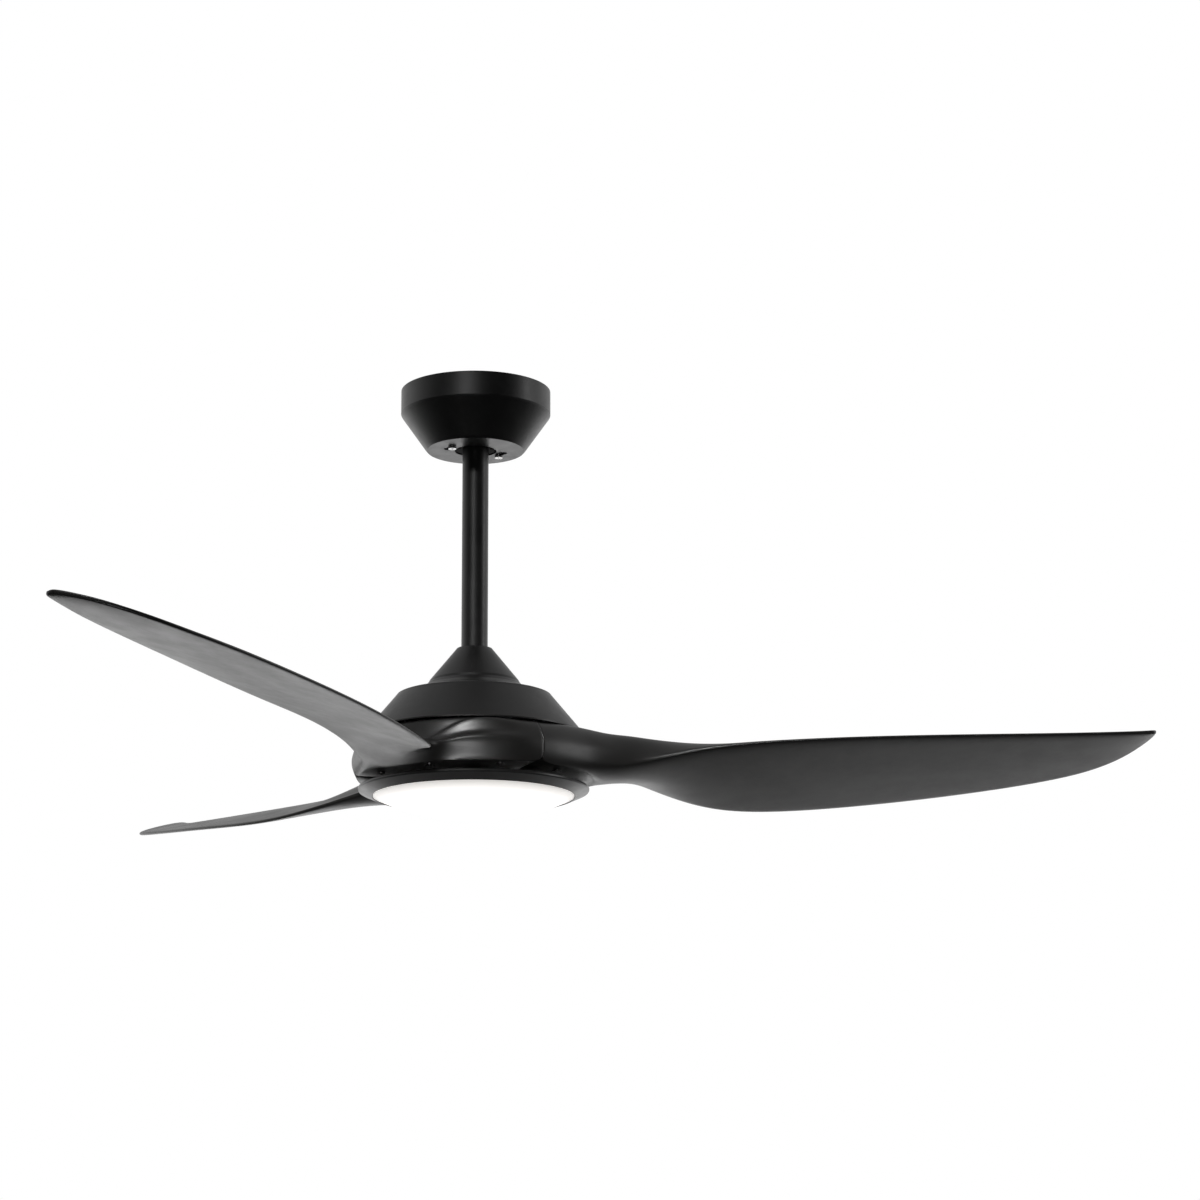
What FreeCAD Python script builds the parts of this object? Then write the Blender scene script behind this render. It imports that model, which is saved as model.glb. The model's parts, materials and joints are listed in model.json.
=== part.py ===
"""Ceiling fan with light, hung from a ball on a down-rod: a parametric assembly in millimetres.

The origin is the centre of the ceiling bracket's upper face, +Z is up, and blade 1 points along +X.
Heights in the sheet are depths below the ceiling, so a face at a depth lies at z = -depth.
"""
import FreeCAD, Part
import math
import os

import Sketcher

DIMENSIONS = {
    # ceiling bracket and hanger ball
    "bracket_length": 118, "bracket_width": 42, "bracket_sheet": 2.5, "bracket_leg_span": 53,
    "bracket_floor_depth": 51, "ceiling_slot_spacing": 90, "ceiling_slot_length": 16,
    "ceiling_slot_width": 5.5, "ball_radius": 21, "ball_depth": 38, "ball_play": 0.05,
    # canopy
    "canopy_radius": 71.6, "canopy_gap": 0.6, "canopy_band_depth": 24, "canopy_floor_radius": 47.2,
    "canopy_floor_depth": 59, "canopy_sheet": 1.6, "canopy_hole_radius": 20,
    "canopy_screw_ring": 27, "canopy_screw_angle": 34, "canopy_screw_radius": 2,
    # down-rod and yoke
    "rod_radius": 12.5, "rod_wall": 1.6, "rod_top_depth": 27, "rod_end_depth": 283,
    "yoke_radius": 17.5, "yoke_top_depth": 264, "yoke_flange_radius": 32, "yoke_flange_depth": 293,
    "yoke_flange_sheet": 5, "clevis_pin_radius": 3, "clevis_pin_depth": 274,
    "lead_radius": 3.2, "lead_offset": 6.8,
    # coupling cover
    "cone_top_depth": 253, "cone_top_radius": 16.8, "cone_base_radius": 42, "cone_base_depth": 284,
    "cone_foot_radius": 58, "cone_wall": 1.8,
    # motor cover
    "cover_top_depth": 298, "cover_shoulder_radius": 71, "cover_rim_radius": 103.3,
    "cover_rim_depth": 337, "cover_wall": 2,
    # motor
    "shaft_radius": 8.5, "shaft_bore_radius": 5, "shaft_end_depth": 391, "bearing_radius": 17.5,
    "bearing_height": 10, "upper_bearing_depth": 313, "lower_bearing_depth": 357,
    "stator_radius": 62, "stator_top_depth": 331, "stator_height": 22, "air_gap": 1,
    "magnet_wall": 5, "rotor_wall": 5, "rotor_screw_radius": 1.4, "rotor_screw_ring": 70.1,
    "rotor_top_depth": 307, "rotor_split_depth": 342,
    "flange_depth": 368, "flange_sheet": 4, "flange_radius": 101,
    # blades and hub
    "sweep_radius": 660, "blade_plane_depth": 345, "blade_edge": 3.2, "hub_wall": 3,
    "hub_radius": 115, "hub_rim_radius": 110, "hub_rim_depth": 377.5, "hub_top_radius": 97,
    "hub_top_depth": 341, "hub_seam_angle": -57, "seam_gap": 0.3, "blade_screw_ring": 94,
    # light
    "pan_depth": 384.5, "pan_radius": 101, "pan_sheet": 1.5, "pan_wall_depth": 391.4,
    "collar_radius": 91.4, "bayonet_pin_radius": 1.1, "bayonet_play": 0.2,
    "bayonet_depth": 390.6, "bayonet_turn": 20,
    "ring_radius": 108, "ring_top_depth": 386, "ring_bore_radius": 94.4, "ring_face_depth": 394.5,
    "lens_radius": 94, "lens_dome": 19, "lens_wall": 2,
}


class Size:
    """A number together with the sheet expression that it came from."""

    def __init__(self, value, text):
        self.value = float(value)
        self.text = text

    def __neg__(self):
        return Size(-self.value, f"(0 - {self.text})")

    def __add__(self, other):
        other = size(other)
        return Size(self.value + other.value, f"({self.text} + {other.text})")

    def __sub__(self, other):
        other = size(other)
        return Size(self.value - other.value, f"({self.text} - {other.text})")

    def __mul__(self, other):
        other = size(other)
        return Size(self.value * other.value, f"({self.text} * {other.text})")

    def __truediv__(self, other):
        other = size(other)
        return Size(self.value / other.value, f"({self.text} / {other.text})")

    __radd__ = __add__
    __rmul__ = __mul__


def size(value):
    if isinstance(value, Size):
        return value
    return Size(value, repr(float(value))) if value >= 0 else Size(value, f"(0 - {repr(float(-value))})")


class Sheet:
    """The document's spreadsheet. An attribute gives the Size of the cell with that alias."""

    def __init__(self, doc, dimensions):
        cells = doc.addObject("Spreadsheet::Sheet", "Dimensions")
        for row, (alias, value) in enumerate(dimensions.items(), start=1):
            cells.set(f"A{row}", alias)
            cells.set(f"B{row}", str(value))
            cells.setAlias(f"B{row}", alias)
        self.values = dimensions

    def __getattr__(self, alias):
        return Size(self.values[alias], f"Dimensions.{alias}")


doc = FreeCAD.newDocument("ceiling_fan")
dim = Sheet(doc, DIMENSIONS)
doc.recompute()
subparts = []


def keep(thing, label):
    """Makes the object a sub-part: its Label names its file."""
    thing.Label = label
    subparts.append(thing)
    return thing


def bind(thing, **sizes):
    for name, value in sizes.items():
        value = size(value)
        setattr(thing, name, value.value)
        if "Dimensions" in value.text:
            thing.setExpression(name, value.text)
    return thing


def move(thing, x=0, y=0, z=0):
    """Places an object at bound coordinates."""
    for axis, value in (("x", x), ("y", y), ("z", z)):
        thing.setExpression(f"Placement.Base.{axis}", size(value).text)
    return thing


def turn(thing, axis, angle):
    thing.Placement.Rotation = FreeCAD.Rotation(FreeCAD.Vector(*axis), angle)
    return thing


def origin_feature(body, role):
    return next(f for f in body.Origin.OriginFeatures if f.Role == role)


def polygon_sketch(body, points, plane, name="Profile"):
    """A closed outline of straight edges whose every corner is bound to the sheet."""
    sketch = body.newObject("Sketcher::SketchObject", name)
    sketch.AttachmentSupport = [(origin_feature(body, plane), "")]
    sketch.MapMode = "FlatFace"
    corners = [(size(a), size(b)) for a, b in points]
    for i, (a, b) in enumerate(corners):
        c, d = corners[(i + 1) % len(corners)]
        start = FreeCAD.Vector(a.value, b.value, 0)
        end = FreeCAD.Vector(c.value, d.value, 0)
        sketch.addGeometry(Part.LineSegment(start, end), False)
    for i in range(len(corners)):
        sketch.addConstraint(Sketcher.Constraint("Coincident", i, 2, (i + 1) % len(corners), 1))
    for i, corner in enumerate(corners):
        for kind, value in zip(("DistanceX", "DistanceY"), corner):
            index = sketch.addConstraint(Sketcher.Constraint(kind, -1, 1, i, 1, value.value))
            if "Dimensions" in value.text:
                sketch.setExpression(f"Constraints[{index}]", value.text)
    return sketch


def new_body(label):
    body = doc.addObject("PartDesign::Body", label.title().replace("_", ""))
    body.AllowCompound = True
    return body


def revolved(label, points, final=True):
    """A piece turned about the Z axis from an outline of (radius, height) corners."""
    body = new_body(label)
    sketch = polygon_sketch(body, points, "XZ_Plane")
    turned = body.newObject("PartDesign::Revolution", "Turned")
    turned.Profile = sketch
    turned.ReferenceAxis = (sketch, ["V_Axis"])
    turned.Angle = 360
    body.Tip = turned
    return keep(body, label) if final else body


def padded(label, points, bottom, height, final=True):
    """A plate or block: an (x, y) outline in the XY plane, raised to height above bottom."""
    body = new_body(label)
    sketch = polygon_sketch(body, points, "XY_Plane")
    raised = body.newObject("PartDesign::Pad", "Raised")
    raised.Profile = sketch
    bind(raised, Length=height)
    body.Tip = raised
    move(body, z=bottom)
    return keep(body, label) if final else body


def rectangle(length, width):
    half_x, half_y = size(length) / 2, size(width) / 2
    return [(-half_x, -half_y), (half_x, -half_y), (half_x, half_y), (-half_x, half_y)]


def tube_outline(inner, outer, top, bottom):
    return [(inner, top), (outer, top), (outer, bottom), (inner, bottom)]


def cylinder(radius, bottom, height, x=0, y=0):
    return move(bind(doc.addObject("Part::Cylinder", "Round"), Radius=radius, Height=height), x, y, bottom)


def crosswise(radius, length, depth, axis="x", offset=0):
    """A cylinder lying along X or Y at a depth, centred on the Z axis, or from offset outwards."""
    rod = bind(doc.addObject("Part::Cylinder", "Cross"), Radius=radius, Height=length)
    start = size(offset) if offset else -(size(length) / 2)
    if axis == "x":
        turn(rod, (0, 1, 0), 90)
        return move(rod, x=start, z=-size(depth))
    turn(rod, (1, 0, 0), -90)
    return move(rod, y=start, z=-size(depth))


def block(length, width, height, x, y, z):
    """A box centred on x and y, standing on z."""
    box = bind(doc.addObject("Part::Box", "Block"), Length=length, Width=width, Height=height)
    return move(box, size(x) - size(length) / 2, size(y) - size(width) / 2, z)


def sphere(radius, depth):
    return move(bind(doc.addObject("Part::Sphere", "Sphere"), Radius=radius), z=-size(depth))


def joined(kind, things, label=None):
    """Part::MultiFuse or Part::MultiCommon of several objects."""
    result = doc.addObject(kind, "Joined")
    result.Shapes = things
    return keep(result, label) if label else result


def cut(base, tools, label=None):
    tool = tools[0] if len(tools) == 1 else joined("Part::MultiFuse", tools)
    result = doc.addObject("Part::Cut", "Cut")
    result.Base, result.Tool = base, tool
    return keep(result, label) if label else result


def screw_ring(label, ring, count, head, shank, first_angle=0, head_up=False):
    """Identical screws round the Z axis. head and shank are (radius, top, bottom)."""
    body = new_body(label)
    ring = size(ring)
    head_radius, head_top, head_bottom = head
    shank_radius, shank_top, shank_bottom = shank
    near, mid = ring + shank_radius, ring + head_radius
    if head_up:
        points = [(ring, head_top), (mid, head_top), (mid, head_bottom), (near, head_bottom),
                  (near, shank_bottom), (ring, shank_bottom)]
    else:
        points = [(ring, shank_top), (near, shank_top), (near, head_top), (mid, head_top),
                  (mid, head_bottom), (ring, head_bottom)]
    sketch = polygon_sketch(body, points, "XZ_Plane")
    axis = Part.LineSegment(FreeCAD.Vector(ring.value, -500, 0), FreeCAD.Vector(ring.value, 0, 0))
    line = sketch.addGeometry(axis, True)
    sketch.addConstraint(Sketcher.Constraint("Vertical", line))
    index = sketch.addConstraint(Sketcher.Constraint("DistanceX", -1, 1, line, 1, ring.value))
    if "Dimensions" in ring.text:
        sketch.setExpression(f"Constraints[{index}]", ring.text)
    turned = body.newObject("PartDesign::Revolution", "Screw")
    turned.Profile = sketch
    turned.ReferenceAxis = (sketch, ["Axis0"])
    turned.Angle = 360
    pattern = body.newObject("PartDesign::PolarPattern", "Ring")
    pattern.Originals = [turned]
    pattern.Axis = (sketch, ["V_Axis"])
    pattern.Angle = 360
    pattern.Occurrences = count
    body.Tip = pattern
    turn(body, (0, 0, 1), first_angle)
    return keep(body, label)


def holes(ring, radius, count, bottom, height, first_angle=0):
    """Clearance holes for a screw ring, as one cutting body."""
    body = new_body("hole_ring")
    ring, radius = size(ring), size(radius)
    sketch = body.newObject("Sketcher::SketchObject", "HoleCircle")
    sketch.AttachmentSupport = [(origin_feature(body, "XY_Plane"), "")]
    sketch.MapMode = "FlatFace"
    centre = FreeCAD.Vector(ring.value, 0, 0)
    circle = sketch.addGeometry(Part.Circle(centre, FreeCAD.Vector(0, 0, 1), radius.value), False)
    sketch.addConstraint(Sketcher.Constraint("PointOnObject", circle, 3, -1))
    for kind, arguments, value in (("DistanceX", (-1, 1, circle, 3), ring), ("Radius", (circle,), radius)):
        index = sketch.addConstraint(Sketcher.Constraint(kind, *arguments, value.value))
        if "Dimensions" in value.text:
            sketch.setExpression(f"Constraints[{index}]", value.text)
    raised = body.newObject("PartDesign::Pad", "Drill")
    raised.Profile = sketch
    bind(raised, Length=height)
    pattern = body.newObject("PartDesign::PolarPattern", "DrillRing")
    pattern.Originals = [raised]
    pattern.Axis = (sketch, ["N_Axis"])
    pattern.Angle = 360
    pattern.Occurrences = count
    body.Tip = pattern
    turn(body, (0, 0, 1), first_angle)
    move(body, z=bottom)
    return body


# ---------------------------------------------------------------- ceiling bracket and its contents

def ceiling_bracket():
    """A bent steel strap: top plate with ceiling slots, two legs, and a floor that seats the ball."""
    sheet, width = dim.bracket_sheet, dim.bracket_width
    plate = block(dim.bracket_length, width, sheet, 0, 0, -sheet)
    leg_height = dim.bracket_floor_depth - sheet
    leg_x = dim.bracket_leg_span / 2 + sheet / 2
    legs = [block(sheet, width, leg_height, side * leg_x, 0, -dim.bracket_floor_depth) for side in (-1, 1)]
    floor = block(dim.bracket_leg_span + sheet, width, sheet, 0, 0, -dim.bracket_floor_depth)
    seat = sphere(dim.ball_radius + dim.ball_play, dim.ball_depth)
    mouth = block(dim.rod_radius * 2 + 3, width, sheet * 3, 0, width / 2, -dim.bracket_floor_depth - sheet)
    cable_hole = cylinder(9, -sheet * 2, sheet * 3)
    slots = []
    for side in (-1, 1):
        slot_x = dim.ceiling_slot_spacing / 2 * side
        straight = dim.ceiling_slot_length - dim.ceiling_slot_width
        slots.append(block(straight, dim.ceiling_slot_width, sheet * 3, slot_x, 0, -sheet * 2))
        for end in (-1, 1):
            end_x = slot_x + straight / 2 * end
            slots.append(cylinder(dim.ceiling_slot_width / 2, -sheet * 2, sheet * 3, end_x))
    strap = joined("Part::MultiFuse", [plate, *legs, floor])
    open_strap = cut(strap, [seat, mouth, cable_hole, *slots])
    # a tongue that stands in the ball's groove and stops the fan from turning on its ball
    tongue = block(3, 5.5, sheet, 0, -dim.ball_radius + 2.8, -dim.bracket_floor_depth)
    # lugs on the floor's diagonal that the canopy screws are driven into
    lugs, threads = [], []
    lug_bottom = -(dim.canopy_floor_depth - dim.canopy_sheet - 0.2)
    lug_height = dim.canopy_floor_depth - dim.bracket_floor_depth - dim.canopy_sheet - 0.2
    for x, y in canopy_screw_places():
        lugs.append(block(9, 9, lug_height, x, y, lug_bottom))
        threads.append(cylinder(dim.canopy_screw_radius, lug_bottom - 1, 12, x, y))
    solid_bracket = joined("Part::MultiFuse", [open_strap, tongue, *lugs])
    return cut(solid_bracket, threads, "ceiling_bracket")


def canopy_screw_places(turned=0):
    """Centres of the two canopy screws, which face each other across the rod, turned about Z."""
    for side in (0, 180):
        angle = math.radians(DIMENSIONS["canopy_screw_angle"] + side + turned)
        yield dim.canopy_screw_ring * math.cos(angle), dim.canopy_screw_ring * math.sin(angle)


def canopy_screws():
    """Two pan-head screws with cross recesses, driven up through the canopy's keyholes."""
    screws, recesses = [], []
    floor = -dim.canopy_floor_depth
    for x, y in canopy_screw_places():
        screws.append(cylinder(3.8, floor - 2.4, 2.2, x, y))
        screws.append(cylinder(dim.canopy_screw_radius, floor - 0.5, 8.5, x, y))
        recesses += [block(4, 0.9, 1.4, x, y, floor - 3), block(0.9, 4, 1.4, x, y, floor - 3)]
    return cut(joined("Part::MultiFuse", screws), recesses, "canopy_screws")


def bracket_contents():
    """The remote receiver and the terminal block, both fixed under the bracket's top plate."""
    under = -dim.bracket_sheet
    padded("receiver_box", rectangle(46, 34), under - 12.5, 12.5)
    block_x = dim.bracket_leg_span / 2 + 12
    terminal = block(15, 30, 11, block_x, 0, under - 11)
    wire_ways = [move(crosswise(1.8, 20, 8.5, "x", offset=30), 30, y, under - 6) for y in (-9, 0, 9)]
    screw_ways = [cylinder(1.6, under - 12, 5, block_x, y) for y in (-9, 0, 9)]
    cut(terminal, [*wire_ways, *screw_ways], "terminal_block")


# ---------------------------------------------------------------- canopy

def canopy():
    """A drum with a conical lower half, a round opening for the rod and two twist-lock keyholes."""
    wall, radius = dim.canopy_sheet, dim.canopy_radius
    top, band, floor = -dim.canopy_gap, -dim.canopy_band_depth, -dim.canopy_floor_depth
    foot, hole = dim.canopy_floor_radius, dim.canopy_hole_radius
    outline = [(radius, top), (radius, band + 0.8), (radius - 0.9, band - 0.8), (foot + 1.2, floor + 2.2),
               (foot - 0.8, floor), (hole, floor), (hole, floor + wall), (foot - wall - 0.6, floor + wall),
               (radius - wall - 0.9, band - 0.6), (radius - wall, band + 0.8), (radius - wall, top)]
    shell = revolved("canopy_shell", outline, final=False)
    keyholes = []
    way_radius = dim.canopy_screw_radius + 0.6
    for turned in range(0, -20, -4):
        keyholes += [cylinder(way_radius, floor - 1, wall * 3, x, y) for x, y in canopy_screw_places(turned)]
    keyholes += [cylinder(4.2, floor - 1, wall * 3, x, y) for x, y in canopy_screw_places(-20)]
    return cut(shell, keyholes, "canopy")


# ---------------------------------------------------------------- hanger ball, down-rod, yoke

def hanger_ball():
    """The ball the fan hangs from, bored for the rod and its cross pin, with a groove for the tongue."""
    ball = sphere(dim.ball_radius, dim.ball_depth)
    crown = block(60, 60, 20, 0, 0, -dim.ball_depth + 15)
    bore = cylinder(dim.rod_radius, -dim.ball_depth - 40, 80)
    pin_way = crosswise(dim.clevis_pin_radius, 60, dim.ball_depth)
    groove_ring = cut(crosswise(dim.ball_radius + 3, 4, dim.ball_depth),
                      [crosswise(dim.ball_radius - 3, 8, dim.ball_depth)])
    groove = joined("Part::MultiCommon", [groove_ring, block(20, 40, 60, 0, -20, -dim.ball_depth - 30)])
    screw_way = crosswise(2, 10, dim.ball_depth - 8, "y", offset=dim.rod_radius - 1)
    return cut(ball, [crown, bore, pin_way, groove, screw_way], "hanger_ball")


def downrod():
    """A steel tube, cross-drilled at both ends."""
    rod = revolved("rod_tube", tube_outline(dim.rod_radius - dim.rod_wall, dim.rod_radius,
                                            -dim.rod_top_depth, -dim.rod_end_depth), final=False)
    return cut(rod, [crosswise(dim.clevis_pin_radius, 60, dim.ball_depth),
                     crosswise(dim.clevis_pin_radius, 60, dim.clevis_pin_depth)], "downrod")


def rod_hardware():
    keep(crosswise(dim.clevis_pin_radius, 36, dim.ball_depth), "ball_cross_pin")
    keep(crosswise(2, 5.5, dim.ball_depth - 8, "y", offset=dim.rod_radius), "ball_set_screw")
    lead_length = dim.rod_end_depth - dim.rod_top_depth - 6
    keep(cylinder(dim.lead_radius, -dim.rod_end_depth + 4, lead_length, 0, dim.lead_offset), "rod_lead")


def yoke():
    """The cast collar that joins the rod to the motor: a cup with a flange and a bored foot."""
    collar, rod, shaft = dim.yoke_radius, dim.rod_radius, dim.shaft_radius
    top, flange = -dim.yoke_top_depth, -dim.yoke_flange_depth
    seat, under = -dim.rod_end_depth, flange - dim.yoke_flange_sheet
    outline = [(rod, top), (collar, top), (collar, flange + 3), (collar + 3, flange),
               (dim.yoke_flange_radius, flange), (dim.yoke_flange_radius, under), (shaft, under),
               (shaft, seat - 3), (dim.shaft_bore_radius, seat - 3), (dim.shaft_bore_radius, seat),
               (rod, seat)]
    body = revolved("yoke_body", outline, final=False)
    cross = crosswise(dim.clevis_pin_radius, 60, dim.clevis_pin_depth)
    screw_ways = [crosswise(2, 10, dim.yoke_top_depth + 5, "y", offset=dim.rod_radius - 1),
                  crosswise(2, 10, dim.yoke_top_depth + 5, "y", offset=-dim.rod_radius - 9)]
    cover_ways = holes(26, 2, 3, under - 1, 12, 30)
    return cut(body, [cross, *screw_ways, cover_ways], "yoke")


def yoke_hardware():
    pin_length, pin = dim.yoke_radius * 2 + 7, dim.clevis_pin_radius
    shank = crosswise(pin, pin_length, dim.clevis_pin_depth)
    head = crosswise(pin + 1.5, 1.8, dim.clevis_pin_depth, "x", offset=pin_length / 2 - 0.1)
    clip_x = -(dim.yoke_radius + 1.8)
    clip_way = cylinder(0.8, -dim.clevis_pin_depth - 8, 16, clip_x)
    cut(joined("Part::MultiFuse", [shank, head]), [clip_way], "clevis_pin")
    stem = cylinder(0.65, -dim.clevis_pin_depth - 7, 13, clip_x)
    eye = move(bind(doc.addObject("Part::Torus", "Eye"), Radius1=2.4, Radius2=0.8),
               clip_x, 0, -dim.clevis_pin_depth + 8.4)
    turn(eye, (0, 1, 0), 90)
    joined("Part::MultiFuse", [stem, eye], "hairpin_clip")
    screws = [crosswise(2, 4.5, dim.yoke_top_depth + 5, "y", offset=dim.rod_radius),
              crosswise(2, 4.5, dim.yoke_top_depth + 5, "y", offset=-dim.rod_radius - 4.5)]
    joined("Part::MultiFuse", screws, "yoke_set_screws")


# ---------------------------------------------------------------- covers

def coupling_cover():
    """The cone that hides the yoke. It rests on the motor cover and slides up the rod."""
    wall, top, base = dim.cone_wall, -dim.cone_top_depth, -dim.cone_base_depth
    neck, skirt, foot = dim.cone_top_radius, dim.cone_base_radius, dim.cone_foot_radius
    floor = -dim.cover_top_depth + 0.25
    mouth = dim.rod_radius + 0.3
    outline = [(mouth, top), (neck, top), (neck + 2.4, top - 3), (skirt, base), (skirt + 1.2, base - 2.4),
               (skirt + 4, base - 5.4), (skirt + 8.5, base - 8.2), (foot, base - 11), (foot, floor),
               (foot - 3, floor), (skirt + 6.5, base - 9.4), (skirt + 2, base - 6.4),
               (skirt - wall - 0.4, base - 1.4), (skirt - wall - 1.6, base + 1.4), (neck + 1, top - 4.6),
               (mouth, top - 3)]
    return revolved("coupling_cover", outline)


def motor_cover():
    """The fixed conical housing over the motor, hung from the yoke's flange."""
    wall, top, rim = dim.cover_wall, -dim.cover_top_depth, -dim.cover_rim_depth
    shoulder, brim = dim.cover_shoulder_radius, dim.cover_rim_radius
    hub = dim.shaft_radius + 3
    outline = [(hub, top), (shoulder, top), (shoulder + 1.8, top - 0.7), (shoulder + 3.2, top - 2.6),
               (brim, rim + 1.2), (brim, rim), (brim - wall * 1.3, rim), (shoulder + 1, top - 3.6),
               (shoulder - 1, top - wall), (hub, top - wall)]
    body = revolved("motor_cover_body", outline, final=False)
    cut(body, [holes(26, 2.1, 3, top - wall - 1, wall + 2, 30)], "motor_cover")
    screw_ring("motor_cover_screws", 26, 3, (3.6, top - wall, top - wall - 2.4),
               (2, -dim.yoke_flange_depth - 1, 0), 30)


# ---------------------------------------------------------------- motor: fixed inner half

def motor_stator():
    shaft, bore, top = dim.shaft_radius, dim.shaft_bore_radius, -dim.rod_end_depth - 3
    revolved("motor_shaft", tube_outline(bore, shaft, top, -dim.shaft_end_depth))
    outer, inner = dim.bearing_radius, dim.shaft_radius
    for name, depth in (("upper", dim.upper_bearing_depth), ("lower", dim.lower_bearing_depth)):
        upper, lower = -depth, -depth - dim.bearing_height
        # two races with a shallow shield between them on each side
        race, shield = 2.6, 0.7
        revolved(f"{name}_bearing", [
            (inner, upper), (inner + race, upper), (inner + race, upper - shield),
            (outer - race, upper - shield), (outer - race, upper), (outer, upper), (outer, lower),
            (outer - race, lower), (outer - race, lower + shield), (inner + race, lower + shield),
            (inner + race, lower), (inner, lower)])
    stator_core()
    stator_windings()
    board_top = -dim.stator_top_depth + 9.5
    board = revolved("board_disc", tube_outline(24.2, 40, board_top, board_top - 1.6), final=False)
    posts = [cylinder(1.4, -dim.stator_top_depth, 8.2, *spoke(28.4, angle)) for angle in (15, 135, 255)]
    joined("Part::MultiFuse", [board, *posts], "motor_board")


SLOTS = 12
BLADE_SCREWS = 9
FIRST_BLADE_SCREW = -36


def stator_core():
    """Laminated core: a hub ring, twelve teeth and their pole shoes."""
    bottom = -dim.stator_top_depth - dim.stator_height
    ring = doc.addObject("Part::Cut", "CoreRing")
    ring.Base = cylinder(30, bottom, dim.stator_height)
    ring.Tool = cylinder(dim.shaft_radius, bottom - 1, dim.stator_height + 2)
    pieces = [ring]
    shoes = doc.addObject("Part::Cut", "ShoeRing")
    shoes.Base = cylinder(dim.stator_radius, bottom, dim.stator_height)
    shoes.Tool = cylinder(dim.stator_radius - 4, bottom - 1, dim.stator_height + 2)
    gaps = []
    for i in range(SLOTS):
        tooth = block(dim.stator_radius - 26, 9, dim.stator_height, 0, 0, bottom)
        angle = 360 / SLOTS * i
        place_radially(tooth, 25, 4.5, angle, bottom)
        gap = block(8, 3.5, dim.stator_height + 2, 0, 0, bottom - 1)
        place_radially(gap, dim.stator_radius.value - 6, 1.75, angle + 180 / SLOTS, bottom - 1)
        pieces.append(tooth)
        gaps.append(gap)
    pieces.append(cut(shoes, gaps))
    return joined("Part::MultiFuse", pieces, "stator_core")


def spoke(radius, angle):
    """The x and y of a point on a spoke of the motor."""
    return radius * math.cos(math.radians(angle)), radius * math.sin(math.radians(angle))


def place_radially(thing, inner, half_width, angle, z):
    """Turns a box about Z so that it starts at inner radius, centred on its spoke."""
    spin = FreeCAD.Rotation(FreeCAD.Vector(0, 0, 1), angle)
    corner = spin.multVec(FreeCAD.Vector(inner, -half_width, 0))
    turn(thing, (0, 0, 1), angle)
    return move(thing, corner.x, corner.y, z)


def stator_windings():
    """One coil on each tooth, standing proud of the core above and below."""
    coils = []
    bottom = -dim.stator_top_depth - dim.stator_height
    for i in range(SLOTS):
        angle = 360 / SLOTS * i
        coil = block(22, 14, dim.stator_height + 10, 0, 0, bottom - 5)
        place_radially(coil, 33, 7, angle, bottom - 5)
        tooth = block(26, 9, dim.stator_height, 0, 0, bottom)
        place_radially(tooth, 31, 4.5, angle, bottom)
        coils.append(cut(coil, [tooth]))
    return joined("Part::MultiFuse", coils, "stator_windings")


# ---------------------------------------------------------------- motor: turning outer half

def rotor():
    """The bell in two halves round the stator: bearing seats, magnet ring and blade flange."""
    seat = dim.bearing_radius + 0.05
    shaft_way = dim.shaft_radius + 1.5
    magnet_in = dim.stator_radius + dim.air_gap
    magnet_out = magnet_in + dim.magnet_wall
    shell = magnet_out + dim.rotor_wall
    top, split = -dim.rotor_top_depth, -dim.rotor_split_depth
    upper_step = -dim.upper_bearing_depth
    upper = revolved("rotor_upper_body", [
        (shaft_way, top), (24, top), (shell - 7.5, top - 3), (shell - 6, top - 9), (shell, top - 9),
        (shell, split), (magnet_out, split), (magnet_out, top - 13), (shell - 9, top - 7), (24, top - 6),
        (23, upper_step - dim.bearing_height), (seat, upper_step - dim.bearing_height),
        (seat, upper_step + 0.2), (shaft_way, upper_step + 0.2)], final=False)
    ways = holes(dim.rotor_screw_ring, dim.rotor_screw_radius, 4, split - 12, 50, 45)
    cut(upper, [ways], "rotor_upper_cap")
    flange_top, flange_under = -dim.flange_depth, -dim.flange_depth - dim.flange_sheet
    lower_step = -dim.lower_bearing_depth - dim.bearing_height
    lower = revolved("rotor_lower_body", [
        (magnet_out, split), (shell, split), (shell, flange_top + 4), (shell + 4, flange_top),
        (dim.flange_radius, flange_top), (dim.flange_radius, flange_under), (shaft_way, flange_under),
        (shaft_way, lower_step - 0.2), (seat, lower_step - 0.2), (seat, -dim.lower_bearing_depth),
        (23, -dim.lower_bearing_depth), (24, flange_top + 2), (magnet_out - 8, flange_top + 2),
        (magnet_out, flange_top + 7)], final=False)
    blade_ways = holes(dim.blade_screw_ring, 2, BLADE_SCREWS, flange_under - 1, dim.flange_sheet + 2,
                       FIRST_BLADE_SCREW)
    cut(lower, [blade_ways, ways], "rotor_lower_cap")
    screw_ring("rotor_screws", dim.rotor_screw_ring, 4, (2.6, top - 6.6, top - 9),
               (dim.rotor_screw_radius, 0, split - 11), 45, head_up=True)
    magnets = -dim.stator_top_depth + 2
    revolved("magnet_ring", tube_outline(magnet_in, magnet_out, magnets, magnets - dim.stator_height - 4))


# ---------------------------------------------------------------- blades

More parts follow.
